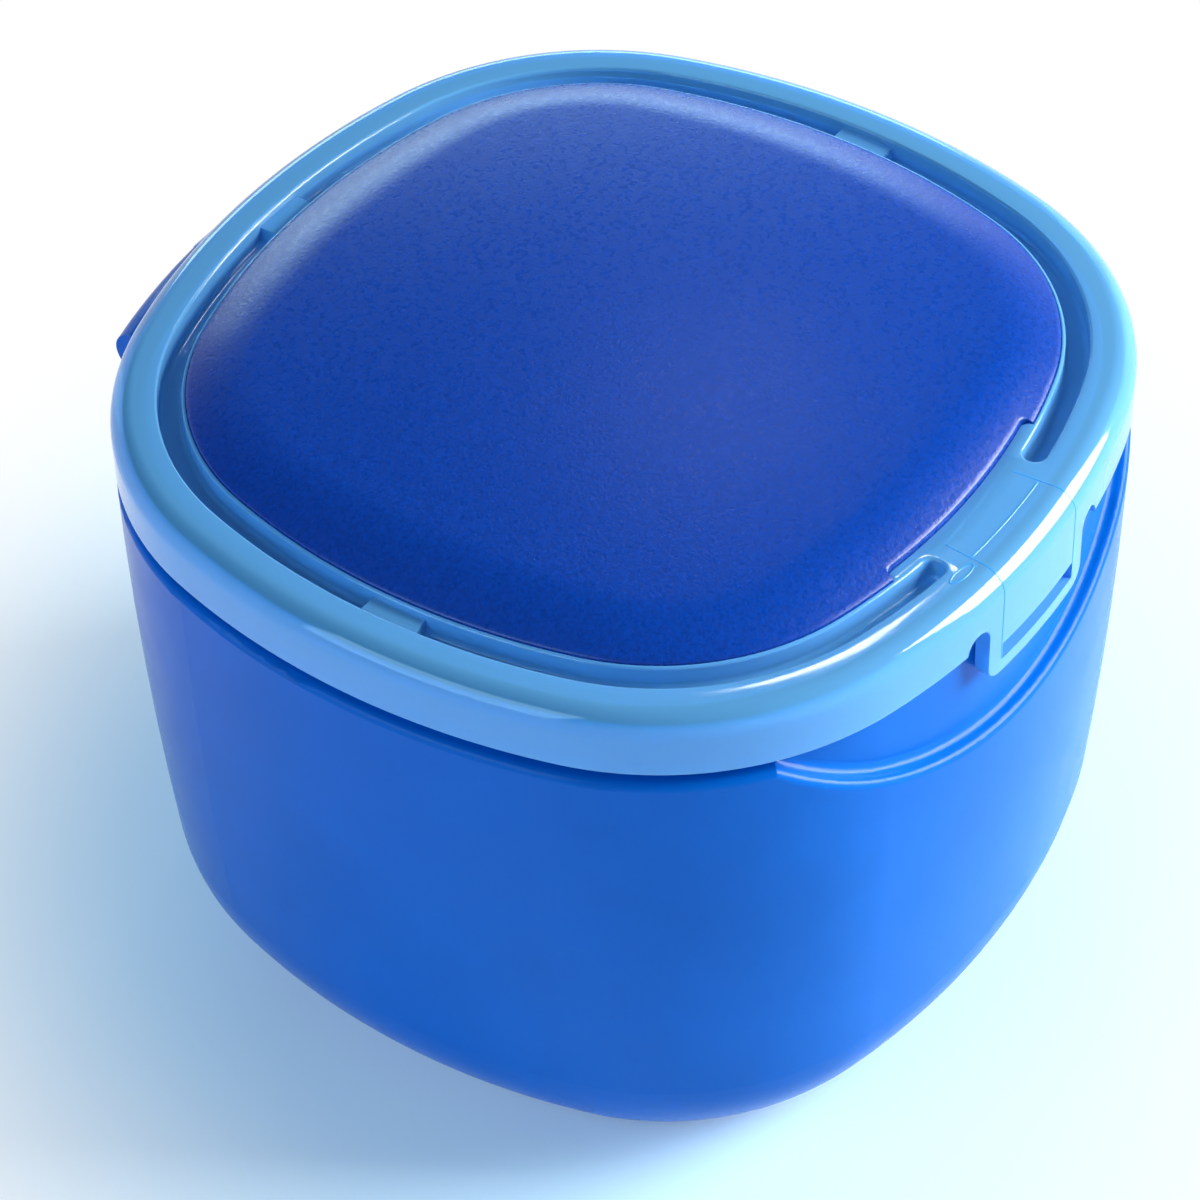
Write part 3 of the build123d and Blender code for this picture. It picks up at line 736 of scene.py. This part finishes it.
line_plastic = new_finish("insert_line", (0.03, 0.30, 0.72), 0.2)
line_run = np.linspace(LINE_START, ROUND_LENGTH + LINE_DOWN_SKIRT, LINE_POINTS)
for side, place in (("right", LINE_PLACE), ("left", -LINE_PLACE)):
    add_hairline("insert_line_" + side, np.full(LINE_POINTS, float(turn_at(place, SIDE_RADIUS))), line_run)
across_turns = turn_at(np.linspace(-ACROSS_HALF, ACROSS_HALF, ACROSS_POINTS), SIDE_RADIUS)
add_hairline("insert_line_across", across_turns, np.full(ACROSS_POINTS, ACROSS_RUN))
loop = np.arange(MARK_POINTS) * 2 * math.pi / MARK_POINTS
mark_turns = turn_at(MARK_PLACE + MARK_HALF * np.cos(loop), SIDE_RADIUS)
add_hairline("insert_mark", mark_turns, MARK_RUN + MARK_WIDTH * np.sin(loop), closed=True)

# %% [markdown]
# The floor is a pale sheet whose cyan tint is painted light: it stands in for the
# cyan glow that the blue case throws into its shadow. Away from the case it should
# be as white as the backdrop, but near it the shadow has to show. So for rays from
# the camera, off a gloss or through clear plastic the sheet glows white far out,
# and the glow fades towards the case, by distance on the floor. Rays that light
# don't see the glow.

# %% The floor
FLOOR_HALF = 3.0
# Cyan floor colour: painted light, the cyan glow in the case's shadow, not the paper's own tint.
FLOOR_PAINTED_CYAN_GLOW = (0.58, 0.86, 1.0)
GLOW_LEAST = 0.12
GLOW_NEAR = 0.045
GLOW_FAR = 0.105


def seen_ray(nodes, links):
    """1 for a ray from the camera, off a gloss or through clear plastic, and 0 for one that lights."""
    rays = nodes.new("ShaderNodeLightPath")
    total = rays.outputs["Is Camera Ray"]
    for kind in ("Is Glossy Ray", "Is Transmission Ray"):
        higher = nodes.new("ShaderNodeMath")
        higher.operation = "MAXIMUM"
        links.new(total, higher.inputs[0])
        links.new(rays.outputs[kind], higher.inputs[1])
        total = higher.outputs[0]
    return total


def add_floor():
    """One large square on z = 0, with a white glow for camera, glossy and transmission rays."""
    mesh = bpy.data.meshes.new("floor")
    corners = np.array([[-1, -1, 0], [1, -1, 0], [1, 1, 0], [-1, 1, 0]]) * FLOOR_HALF
    mesh.from_pydata(corners.tolist(), [], [(0, 1, 2, 3)])
    floor = bpy.data.objects.new("floor", mesh)
    bpy.context.scene.collection.objects.link(floor)
    # The sheet's base colour is the painted cyan glow that shows where the white glow fades.
    paper_painted_cyan = new_finish("floor_paper_painted_cyan_glow", FLOOR_PAINTED_CYAN_GLOW, 0.7, Specular_IOR_Level=0.0)
    nodes, links = paper_painted_cyan.node_tree.nodes, paper_painted_cyan.node_tree.links
    place, away = nodes.new("ShaderNodeTexCoord"), nodes.new("ShaderNodeVectorMath")
    away.operation = "LENGTH"
    fade = nodes.new("ShaderNodeMapRange")
    fade.interpolation_type = "SMOOTHSTEP"
    span = {"From Min": GLOW_NEAR, "From Max": GLOW_FAR, "To Min": GLOW_LEAST, "To Max": 1.0}
    for key, value in span.items():
        fade.inputs[key].default_value = value
    links.new(place.outputs["Object"], away.inputs[0])
    links.new(away.outputs["Value"], fade.inputs["Value"])
    share = nodes.new("ShaderNodeMath")
    share.operation = "MULTIPLY"
    links.new(seen_ray(nodes, links), share.inputs[0])
    links.new(fade.outputs["Result"], share.inputs[1])
    glow, mix = nodes.new("ShaderNodeEmission"), nodes.new("ShaderNodeMixShader")
    links.new(share.outputs[0], mix.inputs["Fac"])
    links.new(nodes["Principled BSDF"].outputs[0], mix.inputs[1])
    links.new(glow.outputs[0], mix.inputs[2])
    links.new(mix.outputs[0], nodes["Material Output"].inputs["Surface"])
    mesh.materials.append(paper_painted_cyan)
    return floor


print("floor", add_floor().name, "is", 2 * FLOOR_HALF, "m across")

# %% [markdown]
# The world is a soft, slightly cool studio. The camera and clear plastic see it as
# plain white. A glossy surface sees a white horizon that darkens upwards, as under
# a studio's ceiling, so flat tops stay deep and edges catch the light.

# %% The world
SOFT_LIGHT = 0.22
SOFT_COLOUR = (0.9, 0.95, 1.0)
SKY_WHITE_TO = 0.12
SKY_DARK_FROM = 0.5
SKY_DARK = (0.03, 0.03, 0.04, 1)


def background(nodes, colour, strength):
    """A background of one colour."""
    node = nodes.new("ShaderNodeBackground")
    node.inputs["Color"].default_value = (*colour, 1)
    node.inputs["Strength"].default_value = strength
    return node


def add_world():
    """Soft light for the object, a graded sky for gloss and plain white for the camera."""
    world = bpy.data.worlds.new("studio")
    bpy.context.scene.world = world
    world.use_nodes = True
    nodes, links = world.node_tree.nodes, world.node_tree.links
    nodes.clear()
    soft = background(nodes, SOFT_COLOUR, SOFT_LIGHT)
    seen = background(nodes, (1, 1, 1), 1.0)
    sky = background(nodes, (1, 1, 1), 1.0)
    place, split = nodes.new("ShaderNodeTexCoord"), nodes.new("ShaderNodeSeparateXYZ")
    ramp = nodes.new("ShaderNodeValToRGB")
    low, high = ramp.color_ramp.elements
    low.position, high.position = SKY_WHITE_TO, SKY_DARK_FROM
    low.color = (1, 1, 1, 1)
    high.color = SKY_DARK
    links.new(place.outputs["Generated"], split.inputs[0])
    links.new(split.outputs["Z"], ramp.inputs["Fac"])
    links.new(ramp.outputs["Color"], sky.inputs["Color"])
    rays = nodes.new("ShaderNodeLightPath")
    source = soft
    for kind, other in (("Is Glossy Ray", sky), ("Is Transmission Ray", seen), ("Is Camera Ray", seen)):
        mix = nodes.new("ShaderNodeMixShader")
        links.new(rays.outputs[kind], mix.inputs["Fac"])
        links.new(source.outputs[0], mix.inputs[1])
        links.new(other.outputs[0], mix.inputs[2])
        source = mix
    links.new(source.outputs[0], nodes.new("ShaderNodeOutputWorld").inputs["Surface"])
    return world


print("world", add_world().name, "lights at", SOFT_LIGHT)

# %% [markdown]
# Three soft boxes and a card shape the case. A bright one to the right of the
# camera puts the pale band on the latch side and on the rim's rounding. A low, wide
# one behind the case is mirrored in the far slopes of the panel. A weak one fills
# the left side. A small card over the back corner is mirrored in the rim beside
# the latch, where the channel's edges flash white.

# %% The lamps
LAMP_AIM = np.array([0, 0, 0.04])
COOL = (0.45, 0.78, 1.0)


def add_lamp(name, azimuth, elevation, distance, size, watts, colour=(1, 1, 1)):
    """Area lamp at aim + distance * direction, facing the case; azimuth 0 is the front and 90 is +X."""
    data = bpy.data.lights.new(name, "AREA")
    data.shape = "RECTANGLE"
    data.size, data.size_y = size
    data.energy = watts
    data.color = colour
    lamp = bpy.data.objects.new(name, data)
    bpy.context.scene.collection.objects.link(lamp)
    lift = math.radians(elevation)
    level = outward(azimuth)
    away = np.array([*(level * math.cos(lift)), math.sin(lift)])
    right = np.array([-level[1], level[0], 0])
    place = np.eye(4)
    place[:3, :3] = np.stack([right, np.cross(away, right), away], axis=1)
    place[:3, 3] = LAMP_AIM + distance * away
    lamp.matrix_world = Matrix(place.tolist())
    print("lamp", name, watts, "W")


add_lamp("softbox_right", 40, 24, 0.6, (0.35, 0.35), 9.0)
add_lamp("softbox_back", 130, 12, 0.8, (0.6, 0.2), 2.2, COOL)
add_lamp("softbox_left", -105, 32, 0.8, (0.5, 0.5), 3.6, COOL)
add_lamp("small_card", 117.5, 50.3, 0.494, (0.036, 0.026), 0.06)
